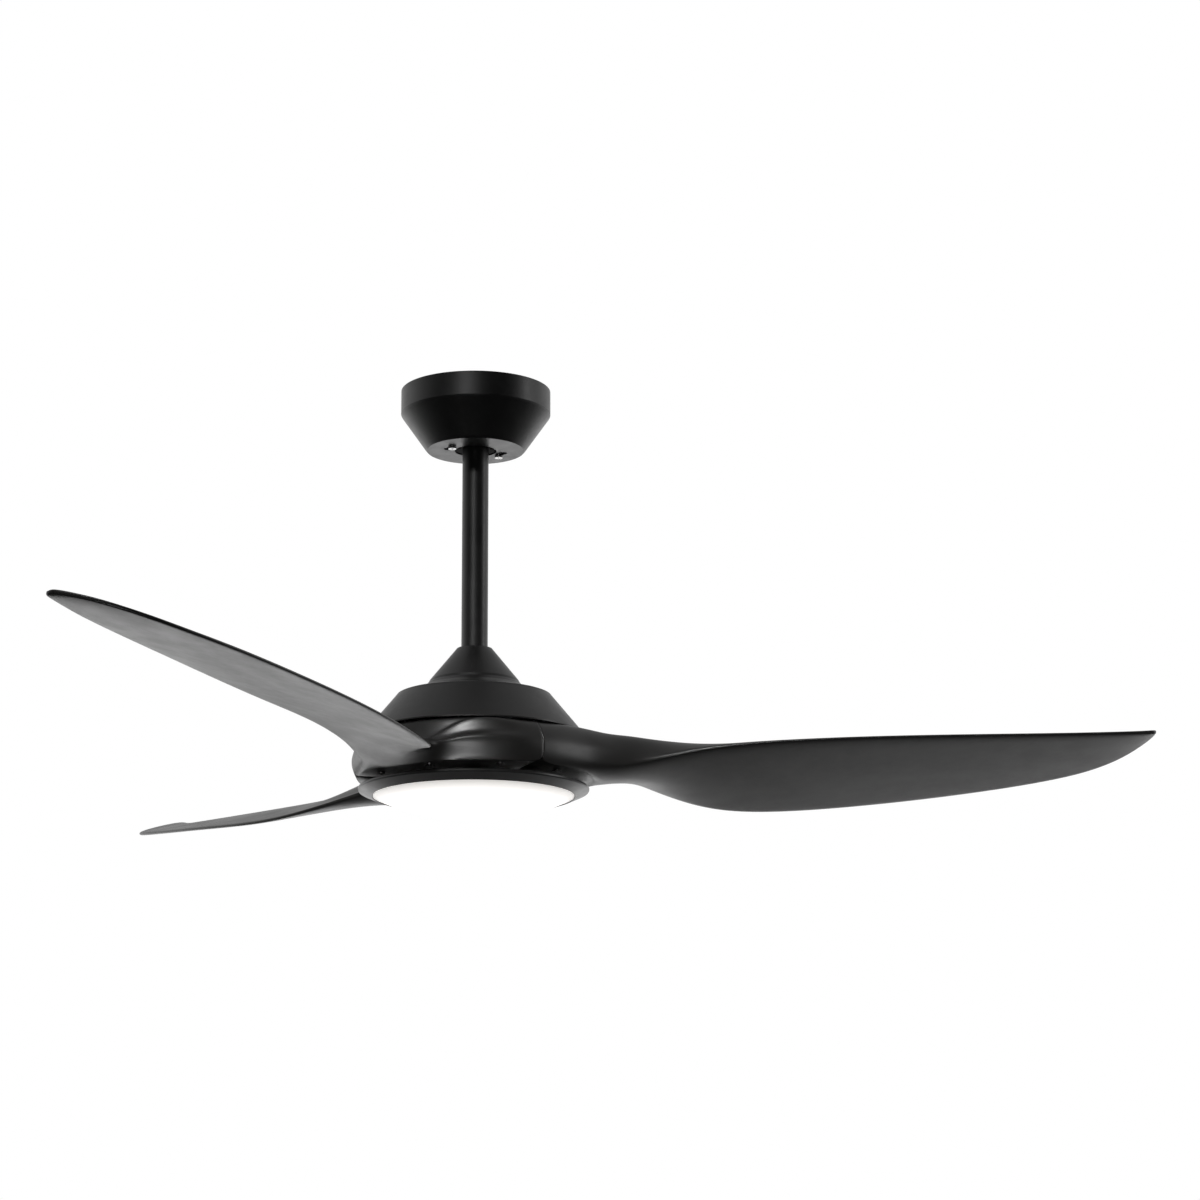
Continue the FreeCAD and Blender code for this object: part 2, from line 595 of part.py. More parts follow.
# Blade stations from root to tip: distance from the axis, then y and height of the leading edge,
# y and height of the trailing edge, how far the ridge behind the leading edge stands up, and how
# far the underside bellies down. Heights are above the blade plane; the leading edge is the high
# one and runs ahead of the blade.
BLADE_STATIONS = [
    (76, -78, -31, 18, -20, 30, 12),
    (105, -58, -31, 38, -21, 30, 14),
    (122, -49, -29, 45, -24, 28, 13),
    (140, -44, -26.5, 44, -27, 27, 10),
    (168, -38.5, -19.5, 60, -35, 23, 7),
    (205, -40.5, -11, 78, -42.5, 14, 4.5),
    (245, -46, -5.7, 92.5, -46.8, 6, 3.5),
    (300, -48.5, -2.2, 105, -44.8, 3, 3),
    (370, -46.3, 1.5, 109, -38.6, 2, 2.8),
    (450, -40, 4.7, 103.5, -30.4, 1.5, 2.6),
    (530, -33, 7.4, 91, -20.5, 1, 2.4),
    (578, -28, 9.4, 74, -11.8, 0.8, 2.2),
    (606, -24, 11, 57, -5, 0.5, 2),
    (629, -20.5, 12.4, 33, 3.5, 0.3, 1.8),
    (645, -16.5, 13.6, 2, 11.5, 0.1, 1.6),
]
RIDGE_BACK = 20          # how far behind the leading edge the ridge stands
SECTOR = 120             # each blade carries a third of the hub
FLANGE_PAD = 4.9         # thickness of the hub's floor, which is screwed to the rotor's flange
SECTION_SHARES = (0.02, 0.08, 0.18, 0.32, 0.5, 0.7, 0.88, 0.98)


def blade_section(station, edge):
    """A closed, rounded section across the blade at one station."""
    x, lead_y, lead_z, trail_y, trail_z, ridge, belly = station
    run, rise = trail_y - lead_y, trail_z - lead_z
    chord = math.hypot(run, rise)
    along, up = (run / chord, rise / chord), (-rise / chord, run / chord)
    peak = min(RIDGE_BACK / chord, 0.3)
    half = edge * 0.4

    def at(share, height):
        y = lead_y + along[0] * share * chord + up[0] * height
        z = lead_z + along[1] * share * chord + up[1] * height
        return FreeCAD.Vector(x, y, z)

    def hump(share):
        if share < peak:
            return ridge * math.sin(math.pi / 2 * share / peak)
        behind = (share - peak) / (1 - peak)
        return ridge * (1 - behind) ** 2 * (1 + 2 * behind)

    top = [at(s, half + math.sin(math.pi * s) + hump(s)) for s in SECTION_SHARES]
    bottom = [at(s, -half - (belly - half) * math.sin(math.pi * s)) for s in reversed(SECTION_SHARES)]
    points = [at(0, 0), *top, at(1, 0), *bottom]
    curve = Part.BSplineCurve()
    curve.interpolate(Points=points, PeriodicFlag=True)
    return Part.Wire([curve.toShape()])


def hub_outline():
    """The hub's wall as (radius, height) corners below the ceiling: the outer face, then the inner."""
    top, rim = -dim.hub_top_depth.value, -dim.hub_rim_depth.value
    waist, foot, brow = dim.hub_radius.value, dim.hub_rim_radius.value, dim.hub_top_radius.value
    wall, flange = dim.hub_wall.value, dim.flange_radius.value
    flange_under = rim + FLANGE_PAD
    outer = [(brow, top), (brow + 6.5, top - 1.2), (brow + 11, top - 9), (waist - 2, top - 16),
             (waist, top - 20), (waist - 0.5, top - 25), (waist - 2.3, top - 31), (foot, rim)]
    inner = [(flange - 41, rim), (flange - 41, flange_under), (foot - wall - 1, flange_under),
             (waist - wall - 1, top - 26), (waist - wall - 1.5, top - 20), (brow + 7, top - 9),
             (brow + 3, top - 4), (brow, top - 4)]
    return outer, inner


def turned_about_z(corners, angle=360):
    """A solid swept about Z from (radius, height) corners in the XZ plane."""
    points = [FreeCAD.Vector(r, 0, z) for r, z in corners + corners[:1]]
    axis_foot, up = FreeCAD.Vector(0, 0, 0), FreeCAD.Vector(0, 0, 1)
    return Part.Face(Part.makePolygon(points)).revolve(axis_foot, up, angle)


def blade_shape():
    """One blade: its lofted wing joined to its third of the hub's wall and flange."""
    axis_foot, up = FreeCAD.Vector(0, 0, 0), FreeCAD.Vector(0, 0, 1)
    wing = Part.makeLoft([blade_section(s, dim.blade_edge.value) for s in BLADE_STATIONS], True, False)
    wing.translate(FreeCAD.Vector(0, 0, -dim.blade_plane_depth.value))
    outer, inner = hub_outline()
    half_gap = math.degrees(dim.seam_gap.value / 2 / dim.hub_radius.value)
    wall = turned_about_z(outer + inner, SECTOR - 2 * half_gap)
    wall.rotate(axis_foot, up, dim.hub_seam_angle.value + half_gap)
    # the room inside the hub: above the flange, inside the wall, and open at the top
    above = -dim.cover_top_depth.value
    room = inner[2:] + [(dim.hub_top_radius.value, above), (0, above), (0, inner[1][1])]
    rim = -dim.hub_rim_depth.value
    below = Part.makeCylinder(dim.hub_rim_radius.value, 60, FreeCAD.Vector(0, 0, rim - 60))
    blade = wing.cut(turned_about_z(room)).fuse(wall).cut(below)
    blade = max(blade.Solids, key=lambda solid: solid.Volume).removeSplitter()
    screw_way = Part.makeCylinder(2.2, 20, FreeCAD.Vector(dim.blade_screw_ring.value, 0, rim - 5))
    for i in range(BLADE_SCREWS):
        hole = screw_way.copy()
        hole.rotate(axis_foot, up, FIRST_BLADE_SCREW + 360 / BLADE_SCREWS * i)
        blade = blade.cut(hole)
    return blade


def blades():
    shape = blade_shape()
    for i in range(3):
        feature = doc.addObject("Part::Feature", f"Blade{i + 1}")
        feature.Shape = shape.copy()
        turn(feature, (0, 0, 1), SECTOR * i)
        keep(feature, f"blade_{i + 1}")
    under = -dim.hub_rim_depth
    screw_ring("blade_screws", dim.blade_screw_ring, BLADE_SCREWS, (4, under, under - 2.6),
               (2, -dim.flange_depth - 0.2, 0), FIRST_BLADE_SCREW)


# ---------------------------------------------------------------- light

PAN_SCREW_RING = 30
PAN_SCREW_ANGLE = 60


def light():
    shaft, top, sheet = dim.shaft_radius, -dim.pan_depth, dim.pan_sheet
    light_pan()
    plate = revolved("mount_disc", tube_outline(shaft, 38, top + 1.8, top), final=False)
    cut(plate, [holes(PAN_SCREW_RING, 1.9, 3, top - 1, 4, PAN_SCREW_ANGLE)], "light_mount_plate")
    screw_ring("light_pan_screws", PAN_SCREW_RING, 3, (3.4, top - sheet, top - sheet - 2),
               (1.9, top + 1.6, 0), PAN_SCREW_ANGLE)
    revolved("shaft_nut", tube_outline(shaft, 14, top - sheet, top - sheet - 4))
    board_under = top - sheet - 1.6
    revolved("led_board", tube_outline(38, 88, top - sheet, board_under))
    chips = []
    for ring, count in ((50, 12), (64, 16), (78, 20)):
        chips += [block(3, 3, 0.8, *spoke(ring, 360 / count * i), board_under - 0.8) for i in range(count)]
    joined("Part::MultiFuse", chips, "led_chips")
    keep(block(18, 30, 8, 26, 0, top - sheet - 8), "led_driver")
    trim_ring()
    lens()


def light_pan():
    """A pressed pan: flat back, outer skirt, and an inner collar with three bayonet pins."""
    shaft, pan, sheet = dim.shaft_radius, dim.pan_radius, dim.pan_sheet
    top, skirt, collar = -dim.pan_depth, -dim.pan_wall_depth, dim.collar_radius
    dish = revolved("pan_body", [
        (shaft + 0.1, top), (pan, top), (pan, skirt), (pan - sheet, skirt), (pan - sheet, top - sheet),
        (collar, top - sheet), (collar, skirt - 0.6), (collar - 1.2, skirt - 0.6),
        (collar - 1.2, top - sheet), (shaft + 0.1, top - sheet)], final=False)
    drilled = cut(dish, [holes(PAN_SCREW_RING, 2.1, 3, top - 5, 10, PAN_SCREW_ANGLE)])
    pins = []
    for i in range(3):
        pin = bind(doc.addObject("Part::Cylinder", "BayonetPin"), Radius=dim.bayonet_pin_radius, Height=2.6)
        x, y = spoke(dim.collar_radius.value - 0.6, 120 * i)
        spin = FreeCAD.Rotation(FreeCAD.Vector(0, 0, 1), 120 * i)
        pin.Placement.Rotation = spin.multiply(FreeCAD.Rotation(FreeCAD.Vector(0, 1, 0), 90))
        pins.append(move(pin, x, y, -dim.bayonet_depth))
    return joined("Part::MultiFuse", [drilled, *pins], "light_pan")


def trim_ring():
    """The bevelled black ring round the lens, hung on the pan's skirt."""
    pan, ring, bore = dim.pan_radius, dim.ring_radius, dim.ring_bore_radius
    ring_top, face, skirt = -dim.ring_top_depth, -dim.ring_face_depth, -dim.pan_wall_depth
    revolved("trim_ring", [
        (pan, ring_top), (ring - 0.8, ring_top), (ring, ring_top - 0.8), (ring, ring_top - 2.2),
        (ring - 0.7, ring_top - 3.2), (bore + 0.8, face), (bore, face + 0.6), (bore, skirt - 0.2),
        (pan, skirt - 0.2)])


def lens():
    """A shallow opal dome with an upstanding rim, in which three L-shaped bayonet slots are cut."""
    radius, wall, dome = dim.lens_radius.value, dim.lens_wall.value, dim.lens_dome.value
    rim, rim_top = -dim.ring_face_depth.value + 0.6, -dim.pan_depth.value - 2.8
    up, foot = FreeCAD.Vector(0, 0, 1), FreeCAD.Vector(0, 0, 0)

    def dome_outline(edge_radius, edge, height):
        """A flat spot on the axis, then an arc of a sphere out to the edge."""
        ball = (edge_radius ** 2 + height ** 2) / (2 * height)
        steps = (math.asin(flat_spot / ball), math.asin(edge_radius / ball))
        angles = (steps[0], sum(steps) / 2, steps[1])
        centre = edge - height + ball
        arc = [FreeCAD.Vector(ball * math.sin(a), 0, centre - ball * math.cos(a)) for a in angles]
        return [FreeCAD.Vector(0, 0, arc[0].z), *arc]

    flat_spot = 2
    outer = dome_outline(radius, rim, dome)
    inner = dome_outline(radius - wall, rim + 0.3, dome - wall + 0.3)
    rim_corners = [outer[3], FreeCAD.Vector(radius, 0, rim_top), FreeCAD.Vector(radius - wall, 0, rim_top),
                   inner[3]]
    outline = [Part.makeLine(outer[0], outer[1]), Part.Arc(*outer[1:]).toShape()]
    outline += [Part.makeLine(a, b) for a, b in zip(rim_corners, rim_corners[1:])]
    outline += [Part.Arc(*reversed(inner[1:])).toShape(), Part.makeLine(inner[1], inner[0])]
    outline.append(Part.makeLine(inner[0], outer[0]))
    shell = Part.Face(Part.Wire(outline)).revolve(foot, up, 360)
    gap, pin_z = dim.bayonet_pin_radius.value + dim.bayonet_play.value, -dim.bayonet_depth.value
    half = math.degrees(gap / radius)
    for i in range(3):
        corners = [(radius - wall - 1, pin_z - gap), (radius + 1, pin_z - gap), (radius + 1, pin_z + gap),
                   (radius - wall - 1, pin_z + gap)]
        way = Part.Face(Part.makePolygon([FreeCAD.Vector(r, 0, z) for r, z in corners + corners[:1]]))
        way.rotate(foot, up, 120 * i + half)
        foot_of_entry = FreeCAD.Vector(radius - wall - 1, -gap, pin_z - gap - dim.bayonet_play.value)
        entry = Part.makeBox(wall + 2, 2 * gap, 20, foot_of_entry)
        entry.rotate(foot, up, 120 * i - dim.bayonet_turn.value)
        shell = shell.cut(way.revolve(foot, up, -dim.bayonet_turn.value - half)).cut(entry)
    feature = doc.addObject("Part::Feature", "Lens")
    feature.Shape = shell
    return keep(feature, "lens")


def build():
    ceiling_bracket()
    canopy_screws()
    bracket_contents()
    canopy()
    hanger_ball()
    downrod()
    rod_hardware()
    yoke()
    yoke_hardware()
    coupling_cover()
    motor_cover()
    motor_stator()
    rotor()
    blades()
    light()
    doc.recompute()


def export():
    for thing in doc.Objects:
        if any(flag in thing.State for flag in ("Invalid", "Error")):
            raise RuntimeError(f"{thing.Label} did not compute: {thing.State}")
    os.makedirs("parts", exist_ok=True)
    for thing in subparts:
        shape = thing.Shape
        if shape.isNull() or not shape.isValid() or not shape.Solids:
            raise RuntimeError(f"{thing.Label} has no valid solid")
        shape.exportStep(os.path.join("parts", f"{thing.Label}.step"))


build()
export()
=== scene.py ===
"""Ceiling fan with light: the moulded blades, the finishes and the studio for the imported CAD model."""

import json
import math

import bmesh
import bpy
from mathutils import Matrix, Vector


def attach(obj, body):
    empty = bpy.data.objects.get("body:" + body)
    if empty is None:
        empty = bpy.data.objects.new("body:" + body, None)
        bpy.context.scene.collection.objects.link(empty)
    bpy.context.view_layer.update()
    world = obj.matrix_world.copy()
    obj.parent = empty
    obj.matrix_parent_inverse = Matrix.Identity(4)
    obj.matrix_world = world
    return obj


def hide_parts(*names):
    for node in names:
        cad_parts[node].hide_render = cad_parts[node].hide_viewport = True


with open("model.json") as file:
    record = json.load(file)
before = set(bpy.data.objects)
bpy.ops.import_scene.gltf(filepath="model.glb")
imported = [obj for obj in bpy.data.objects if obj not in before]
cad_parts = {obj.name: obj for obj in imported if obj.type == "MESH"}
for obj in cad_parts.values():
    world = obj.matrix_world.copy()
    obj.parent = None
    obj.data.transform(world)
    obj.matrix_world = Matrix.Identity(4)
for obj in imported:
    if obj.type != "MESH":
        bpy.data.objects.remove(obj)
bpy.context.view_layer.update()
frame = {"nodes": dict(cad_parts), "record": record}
nodes = frame["nodes"]
slot_of = {part["node"]: part["material_slot"] for part in frame["record"]["subparts"]}

MM = 0.001
BLADE_PLANE = -0.345      # the blades' reference height below the ceiling
BLADES = 3


# ---------------------------------------------------------------- materials

def new_material(name):
    material = bpy.data.materials.new(name)
    material.use_nodes = True
    return material, material.node_tree, material.node_tree.nodes["Principled BSDF"]


def add(tree, kind, inputs=None, **settings):
    """A node with its settings, and its inputs given as numbers or as sockets to link."""
    node = tree.nodes.new(kind)
    for name, value in settings.items():
        setattr(node, name, value)
    for name, value in (inputs or {}).items():
        if isinstance(value, bpy.types.NodeSocket):
            tree.links.new(value, node.inputs[name])
        else:
            node.inputs[name].default_value = value
    return node


def coordinates(tree, stretch=(1, 1, 1)):
    """The object's own coordinates in metres, stretched for grain that runs one way."""
    place = add(tree, "ShaderNodeTexCoord")
    inputs = {"Vector": place.outputs["Object"], "Scale": stretch}
    return add(tree, "ShaderNodeMapping", inputs).outputs["Vector"]


def noise(tree, where, scale, detail=3.0, roughness=0.55):
    return add(tree, "ShaderNodeTexNoise", {"Vector": where, "Scale": scale, "Detail": detail,
                                            "Roughness": roughness}).outputs["Fac"]


def ramp(tree, factor, low, high, start=0.35, end=0.65):
    """A factor turned into a range of colours."""
    node = add(tree, "ShaderNodeValToRGB", {"Fac": factor})
    node.color_ramp.elements[0].position = start
    node.color_ramp.elements[1].position = end
    node.color_ramp.elements[0].color = (*low, 1)
    node.color_ramp.elements[1].color = (*high, 1)
    return node.outputs["Color"]


def spread(tree, factor, low, high, start=0.35, end=0.65):
    """A factor turned into a range of numbers."""
    return add(tree, "ShaderNodeMapRange", {"Value": factor, "From Min": start, "From Max": end,
                                            "To Min": low, "To Max": high}).outputs["Result"]


def bump(tree, height, depth, normal=None):
    """A bump of the given depth in metres."""
    inputs = {"Height": height, "Strength": 1.0, "Distance": depth}
    if normal:
        inputs["Normal"] = normal
    return add(tree, "ShaderNodeBump", inputs).outputs["Normal"]


def finish(name, low, high, rough, grain=900.0, relief=0.02, mottle=18.0, stretch=(1, 1, 1), **fixed):
    """A surface with a mottled colour, uneven gloss, a fine grain and a slight waviness.

    rough is the range of roughness, relief the depth of the grain in millimetres, and fixed are
    numbers for the shader's own sockets.
    """
    material, tree, shader = new_material(name)
    where = coordinates(tree, stretch)
    patches = noise(tree, where, mottle)
    smudges = noise(tree, where, mottle * 3.7, 5.0, 0.7)
    link = tree.links.new
    link(ramp(tree, patches, low, high), shader.inputs["Base Color"])
    link(spread(tree, smudges, *rough), shader.inputs["Roughness"])
    waves = bump(tree, noise(tree, where, mottle * 1.6, 1.0), relief * 2 * MM)
    link(bump(tree, noise(tree, where, grain, 2.0), relief * MM, waves), shader.inputs["Normal"])
    for socket, value in fixed.items():
        shader.inputs[socket.replace("_", " ")].default_value = value
    return material


def worn_edges(material, color, amount):
    """Lightens the sharp outer edges, where the paint is thin or rubbed."""
    tree = material.node_tree
    shader = tree.nodes["Principled BSDF"]
    edge = add(tree, "ShaderNodeNewGeometry").outputs["Pointiness"]
    where = coordinates(tree)
    rubbed = add(tree, "ShaderNodeMath", {0: spread(tree, edge, 0.0, amount, 0.58, 0.72),
                                          1: noise(tree, where, 60.0)}, operation="MULTIPLY").outputs["Value"]
    painted = shader.inputs["Base Color"].links[0].from_socket
    mix = add(tree, "ShaderNodeMix", data_type="RGBA")
    tree.links.new(rubbed, mix.inputs[0])
    tree.links.new(painted, mix.inputs[6])
    mix.inputs[7].default_value = (*color, 1)
    tree.links.new(mix.outputs[2], shader.inputs["Base Color"])
    return material


def grey(value, warmth=0.0):
    return (value * (1 + warmth), value, value * (1 - warmth))


materials = {
    "black_paint": finish("black_paint", grey(0.004), grey(0.006), (0.33, 0.4), 1400, 0.01),
    "blade_plastic": worn_edges(finish("blade_plastic", grey(0.0055, 0.05), grey(0.008, 0.05), (0.34, 0.41),
                                       1700, 0.009, 7.0, Specular_IOR_Level=0.55), grey(0.06), 0.5),
    "black_trim": finish("black_trim", grey(0.006), grey(0.009), (0.28, 0.35), 1500, 0.008),
    "black_nylon": finish("black_nylon", grey(0.012), grey(0.017), (0.5, 0.6), 1100, 0.02),
    "black_box": finish("black_box", grey(0.02), grey(0.03), (0.5, 0.62), 900, 0.05),
    "pale_plastic": finish("pale_plastic", (0.66, 0.65, 0.6), (0.74, 0.73, 0.69), (0.42, 0.52), 1200, 0.012),
    "zinc_steel": finish("zinc_steel", (0.48, 0.5, 0.52), (0.62, 0.62, 0.58), (0.28, 0.42), 700, 0.015, 30.0,
                         Metallic=1.0),
    "screw_steel": finish("screw_steel", (0.5, 0.5, 0.5), (0.66, 0.65, 0.63), (0.18, 0.3), 1500, 0.01, 120.0,
                          Metallic=1.0),
    "black_screw": finish("black_screw", grey(0.05), grey(0.09), (0.25, 0.35), 1500, 0.01, 120.0,
                          Metallic=1.0),
    "shaft_steel": finish("shaft_steel", (0.46, 0.46, 0.47), (0.56, 0.56, 0.56), (0.22, 0.3), 500, 0.01, 25.0,
                          (1, 1, 12), Metallic=1.0),
    "core_steel": finish("core_steel", (0.22, 0.22, 0.24), (0.32, 0.32, 0.34), (0.35, 0.5), 300, 0.12, 10.0,
                         (1, 1, 40), Metallic=1.0),
    "cast_metal": finish("cast_metal", grey(0.02), grey(0.03), (0.45, 0.6), 500, 0.08),
    "cast_aluminium": finish("cast_aluminium", (0.5, 0.51, 0.52), (0.62, 0.63, 0.64), (0.36, 0.5), 600, 0.05,
                             25.0, Metallic=1.0),
    "magnet": finish("magnet", grey(0.05), grey(0.08), (0.5, 0.65), 800, 0.04),
    "copper_wire": finish("copper_wire", (0.5, 0.2, 0.09), (0.66, 0.29, 0.14), (0.22, 0.34), 260, 0.2, 40.0,
                          (1, 1, 10), Metallic=1.0),
    "circuit_board": finish("circuit_board", (0.02, 0.13, 0.045), (0.04, 0.18, 0.07), (0.25, 0.35), 900, 0.01,
                            90.0),
    "led_board": finish("led_board", grey(0.78), grey(0.85), (0.3, 0.4), 900, 0.008),
    "led_phosphor": finish("led_phosphor", (0.75, 0.58, 0.18), (0.88, 0.72, 0.3), (0.25, 0.35), 2000, 0.01,
                           400.0),
    "cable_jacket": finish("cable_jacket", grey(0.035), grey(0.05), (0.5, 0.6), 900, 0.03),
}


def opal_lens():
    """A lit opal diffuser: bright all over, and a little fainter and warmer towards its rim."""
    material = finish("opal_lens", (0.9, 0.9, 0.885), (0.95, 0.95, 0.94), (0.3, 0.38), 1300, 0.01)
    tree = material.node_tree
    shader = tree.nodes["Principled BSDF"]
    place = add(tree, "ShaderNodeTexCoord").outputs["Object"]
    flat = add(tree, "ShaderNodeVectorMath", {0: place, 1: (1, 1, 0)}, operation="MULTIPLY").outputs["Vector"]
    radius = add(tree, "ShaderNodeVectorMath", {0: flat}, operation="LENGTH").outputs["Value"]
    glow = ramp(tree, radius, (1.0, 0.992, 0.98), (1.0, 0.95, 0.9), 0.06, 0.096)
    tree.links.new(glow, shader.inputs["Emission Color"])
    tree.links.new(spread(tree, radius, 1.6, 0.3, 0.055, 0.094), shader.inputs["Emission Strength"])
    return material


materials["opal_lens"] = opal_lens()

for node, piece in nodes.items():
    piece.data.materials.clear()
    piece.data.materials.append(materials[slot_of[node]])


# ---------------------------------------------------------------- blades

def polar(*corners):
    """Points on the hub from (angle, radius, height), the angle measured from the blade."""
    return [(r * math.cos(math.radians(a)), r * math.sin(math.radians(a)), z) for a, r, z in corners]


# Each line of the blade's cage starts on the edge of its third of the hub, crosses the hub, and runs
# out to the tip. Numbers are millimetres, and heights are above the blade plane. The lines go round
# the blade from the leading edge over the top to the trailing edge and back underneath. With each
# line stands its share of the way across the blade, and the side of the section it keeps to.
HUB_LINES = [
    # up the seam on the leading side, from the rim to the brow
    (0.003, -1, [(-57, 110, -33), (-51, 110.3, -33), (-45, 111, -33), (-39, 113, -32.8), (-31, 118, -32.3),
                 (-24, 127, -31)]),
    (0.003, 1, [(-57, 113.5, -25), (-51, 113.8, -25), (-45, 114.5, -25), (-39, 116.3, -24.8),
                (-31.2, 121, -24.2), (-24.7, 128.8, -23.5)]),
    (0.03, 1, [(-57, 115, -16), (-51, 115.3, -15.8), (-45, 116, -15.5), (-39, 117.7, -15),
               (-31.3, 121.7, -14), (-24.7, 128.7, -12)]),
    (0.08, 1, [(-57, 111, -4), (-51, 111.3, -3.6), (-45, 112, -3), (-39, 113.3, -2.2), (-30.8, 117, -1.5),
               (-23.5, 124.9, -1)]),
    (0.17, 1, [(-57, 104.6, 5.6), (-51, 104.8, 6), (-45, 105.4, 6.8), (-39, 106.5, 7.8), (-29.3, 110, 8.6),
               (-20, 118.2, 8.5)]),
    (0.27, 1, [(-57, 98, 7), (-50, 98.5, 7), (-43, 99.4, 7.2), (-35, 101.5, 7.8), (-24.5, 104.5, 8.4),
               (-14, 113.4, 6.5)]),
    # the brow, over the top of the hub
    (0.37, 1, [(-35, 97, 7), (-34, 100.5, 7), (-32, 103.8, 7), (-28, 105.5, 5.5), (-18, 107.5, 1.5),
               (-9.5, 115, -2.5)]),
    (0.47, 1, [(-10, 97, 7), (-10, 100.5, 7.2), (-9.5, 104.3, 6.2), (-8.5, 105.7, -2), (-7, 108.5, -9),
               (-4.5, 115, -12)]),
    (0.57, 1, [(12, 97, 7), (11.5, 100.5, 7.2), (11, 104.5, 6.2), (8.5, 105.7, -4), (4, 108, -12),
               (0.5, 114.5, -15.5)]),
    (0.68, 1, [(36, 97, 7), (32, 100.5, 7.2), (26, 104.5, 6.8), (17.5, 105.2, -1), (9, 107, -12),
               (4.5, 114.5, -17.5)]),
    # down the seam on the trailing side, where a swell runs out into the trailing edge
    (0.79, 1, [(63, 98, 7), (51, 101, 7.3), (39.5, 104.5, 8.2), (27, 106.8, 8.4), (15, 107.8, -4.5),
               (7.5, 112, -17)]),
    (0.88, 1, [(63, 104.6, 6.5), (53, 106.5, 4), (43, 107.6, 3), (31, 108.5, 1), (18, 108.8, -8),
               (9.7, 112.5, -18.5)]),
    (0.95, 1, [(63, 111, -4), (54, 110.5, -5.5), (44.5, 109.8, -7), (33, 109.6, -7.5), (21, 110, -11),
               (11.2, 114.5, -18.5)]),
    (1.0, 1, [(63, 115, -16), (54, 115.1, -13.5), (44, 115.4, -11), (34, 115.8, -10), (23.5, 116.4, -11.8),
              (12.4, 121, -19.5)]),
    (1.0, -1, [(63, 113.5, -25), (53, 113.7, -23), (43, 114.3, -20.5), (33, 115.3, -18.5), (22, 116.6, -18),
               (12, 121, -23.5)]),
    (0.94, -1, [(63, 110, -33), (52, 110, -33), (41, 110, -33), (30, 110.3, -32.6), (18.5, 112.5, -30.5),
                (9.5, 119, -30.5)]),
    # back along the rim, under the hub
    (0.8, -1, [(40, 113.2, -33.6), (36, 112.4, -33.6), (31, 112, -33.6), (23, 112, -33.8), (13, 113.5, -34.5),
               (4.5, 118, -36)]),
    (0.6, -1, [(15, 113.2, -33.6), (14, 113.4, -33.8), (12.5, 113.8, -34), (9, 114, -34.6), (4, 114.5, -36),
               (-2.5, 118, -38.5)]),
    (0.4, -1, [(-10, 113.2, -33.6), (-10, 113.4, -33.8), (-10, 113.8, -34), (-10.5, 114, -34.6),
               (-11.5, 114.5, -36), (-10, 118.9, -38.5)]),
    (0.18, -1, [(-35, 113.2, -33.6), (-33, 112.8, -33.7), (-31, 113, -33.8), (-28.5, 113.2, -34.2),
                (-25, 114.3, -35), (-17.5, 121.8, -36)]),
]

# Stations out along the blade: distance from the axis, y and height of the leading edge, y and
# height of the trailing edge, height of the ridge behind the leading edge, depth of the belly.
# From the third station on, the edges' numbers aren't chosen by hand: a separate program fitted
# them by least squares to the blades' outlines in the photograph, and they were then rounded and
# eased a little.
STATIONS = [
    (140, -44.5, -26.5, 28, -22.5, 29, 12),
    (168, -39, -19.5, 49, -32, 24.5, 8),
    (205, -41.5, -11.2, 74, -41.7, 14.5, 5),
    (245, -46, -5.7, 92, -46.8, 5, 3.5),
    (300, -48.5, -2.2, 104.5, -44.8, 2.5, 3),
    (370, -46.3, 1.5, 108.5, -38.6, 1.5, 2.8),
    (450, -40, 4.7, 103, -30.4, 1.2, 2.6),
    (530, -33, 7.4, 90.5, -20.5, 1, 2.4),
    (578, -28, 9.4, 74, -13, 0.8, 2.2),
    (603, -24.5, 10.8, 61, -7, 0.5, 2),
    (623, -21, 12, 42.5, 0, 0.3, 1.8),
    (637, -18.5, 13, 19, 8, 0.1, 1.7),
    (643, -16.5, 13.6, -4, 12.5, 0, 1.6),
]
EDGE = 3.2                # thickness of the blade's edge
RIDGE_BACK = 20           # how far behind the leading edge the ridge stands
CROWN = 2.0               # how far the upper face swells between its edges
LIP = 3.0                 # thickness of the hub's wall where it shows at the seams
RIM_BELOW = -30           # lines that start below this height run in under the hub as its floor
FLOOR_BORE = 62           # radius of the opening in the hub's floor
RIM_AT = 2                # where along each line the hub's outer edge stands


def section_point(station, share, side):
    """A point of the section at a station: share of the way across, on the upper or lower face."""
    x, lead_y, lead_z, trail_y, trail_z, ridge, belly = station
    lead, trail = Vector((lead_y, lead_z)), Vector((trail_y, trail_z))
    chord = (trail - lead).length
    along = (trail - lead) / chord
    up = Vector((-along.y, along.x))
    arch = math.sin(math.pi * share)
    if side > 0:
        peak = min(RIDGE_BACK / chord, 0.3)
        behind = max(share - peak, 0) / (1 - peak)
        swell = math.sin(math.pi / 2 * share / peak) if share < peak else (1 - behind) ** 2 * (1 + 2 * behind)
        height = EDGE / 2 + ridge * swell + CROWN * arch
    else:
        height = -EDGE / 2 - (belly - EDGE / 2) * arch ** 0.8
    point = lead + along * (share * chord) + up * height
    return (x, point.x, point.y)


def blade_cage():
    """Rows of points from inside the hub's wall out to the tip, one row for each line."""
    rows = []
    for share, side, corners in HUB_LINES:
        angle, radius, height = corners[0]
        if height < RIM_BELOW:
            inner = [(angle, FLOOR_BORE, height), (angle, radius - LIP, height)]
        else:
            inner = [(angle, radius - LIP, height - LIP * 2), (angle, radius - LIP, height - LIP)]
        rows.append(polar(*inner, *corners) + [section_point(s, share, side) for s in STATIONS])
    return rows


